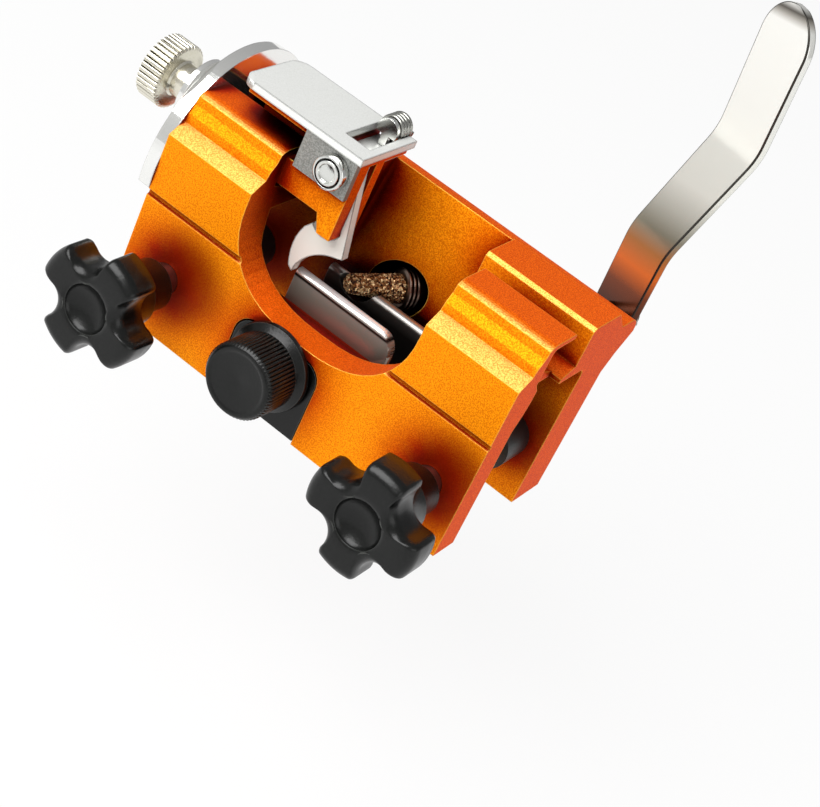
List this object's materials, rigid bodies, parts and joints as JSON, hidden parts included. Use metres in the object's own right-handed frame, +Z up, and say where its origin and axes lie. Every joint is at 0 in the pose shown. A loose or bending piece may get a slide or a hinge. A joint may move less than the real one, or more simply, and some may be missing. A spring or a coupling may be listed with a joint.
{
  "type": "chainsaw sharpening jig",
  "caption": "Saddle jig that clamps on a guide bar, holds the chain between jaws against a sprung pawl, and guides a tapered grinding burr turned by a rear crank.",
  "frame": {"origin": "middle of the foot of the rear wall, on the plane that both feet stand on", "axes": "+X along the guide bar, away from the thumbscrew; -Y towards the star knobs; +Z up"},
  "size_m": [0.1003, 0.1099, 0.0961],
  "materials": {
    "orange_anodised": "satin anodised orange with a fine grain",
    "polished_plate": "polished steel",
    "dark_screws": "dark steel",
    "nickel": "nickel plated, knurled",
    "washer_steel": "plain steel",
    "cover_steel": "matt stainless",
    "bracket_steel": "bead blasted",
    "bolt_steel": "turned and polished",
    "pawl_steel": "light satin",
    "spring_steel": "plain spring wire",
    "black_plastic": "black, fine grained",
    "screw_steel": "plain steel",
    "pad_brass": "turned",
    "jaw_steel": "ground and polished",
    "rest_steel": "blackened",
    "rod_steel": "oiled dark steel",
    "burr_grit": "diamond grit"
  },
  "bodies": {
    "saddle": {"body": "orange_anodised", "end_plate": "polished_plate", "end_plate_screws": "dark_screws", "thumbscrew_washer": "washer_steel", "rear_jaw": "jaw_steel", "rear_jaw_screws": "dark_screws", "bar_rests": "rest_steel"},
    "thumbscrew": {"thumbscrew": "nickel", "thumbscrew_clip": "dark_screws"},
    "carriage": {"carriage": "orange_anodised", "cover_plate": "cover_steel", "pawl_bracket": "bracket_steel", "pivot_bolt": "bolt_steel", "spring_pin": "spring_steel", "pawl_spring": "spring_steel", "spring_seat": "cover_steel"},
    "pawl": {"pawl": "pawl_steel"},
    "slider": {"slider_plate": "black_plastic", "front_jaw": "jaw_steel", "jaw_carrier": "orange_anodised", "front_jaw_screws": "dark_screws"},
    "slider_lock": {"slider_knob": "black_plastic", "slider_screw": "dark_screws"},
    "left_pad": {"left_clamp_pad": "pad_brass"},
    "left_clamp": {"left_clamp_knob": "black_plastic", "left_clamp_screw": "screw_steel"},
    "right_pad": {"right_clamp_pad": "pad_brass"},
    "right_clamp": {"right_clamp_knob": "black_plastic", "right_clamp_screw": "screw_steel"},
    "rod_carrier": {"rod_sleeve": "rod_steel"},
    "crank": {"grinding_rod": "rod_steel", "burr": "burr_grit", "crank_handle": "polished_plate", "crank_nut": "bolt_steel"}
  },
  "joints": [
    {"name": "carriage_slide", "type": "slide", "parent": "saddle", "child": "carriage", "axis": [1, 0, 0], "range_m": [-0.002, 0.006]},
    {"name": "thumbscrew_turn", "type": "hinge", "parent": "saddle", "child": "thumbscrew", "pos_m": [-0.041, -0.02305, 0.0428], "axis": [1, 0, 0], "range_deg": [-3087, 1030]},
    {"name": "pawl_swing", "type": "hinge", "parent": "carriage", "child": "pawl", "pos_m": [-0.0105, -0.02235, 0.049], "axis": [0, 1, 0], "range_deg": [-25, 0], "stiffness_Nm_per_rad": 0.02, "springref_deg": 11.46},
    {"name": "slider_slide", "type": "slide", "parent": "saddle", "child": "slider", "axis": [0, 0, 1], "range_m": [-0.004, 0.0003]},
    {"name": "slider_lock_turn", "type": "hinge", "parent": "slider", "child": "slider_lock", "pos_m": [-0.0036, -0.03435, 0.0115], "axis": [0, 1, 0], "range_deg": [-180, 180]},
    {"name": "left_clamp_slide", "type": "slide", "parent": "saddle", "child": "left_pad", "axis": [0, 1, 0], "range_m": [-0.007, 0.003]},
    {"name": "left_clamp_turn", "type": "hinge", "parent": "left_pad", "child": "left_clamp", "pos_m": [-0.031, -0.03435, 0.0124], "axis": [0, 1, 0], "range_deg": [-2521, 1081]},
    {"name": "right_clamp_slide", "type": "slide", "parent": "saddle", "child": "right_pad", "axis": [0, 1, 0], "range_m": [-0.007, 0.003]},
    {"name": "right_clamp_turn", "type": "hinge", "parent": "right_pad", "child": "right_clamp", "pos_m": [0.0335, -0.03435, 0.0124], "axis": [0, 1, 0], "range_deg": [-2521, 1081]},
    {"name": "rod_feed", "type": "slide", "parent": "saddle", "child": "rod_carrier", "axis": [-0.5446, -0.8387, 0], "range_m": [-0.003, 0.002]},
    {"name": "rod_spin", "type": "hinge", "parent": "rod_carrier", "child": "crank", "pos_m": [0.0003, -0.00525, 0.0231], "axis": [0.5446, 0.8387, 0], "continuous": true}
  ],
  "couplings": [
    {"joint": "thumbscrew_turn", "follows": "carriage_slide", "rad_per_m": -8976},
    {"joint": "left_clamp_turn", "follows": "left_clamp_slide", "rad_per_m": 6283.2},
    {"joint": "right_clamp_turn", "follows": "right_clamp_slide", "rad_per_m": 6283.2}
  ]
}
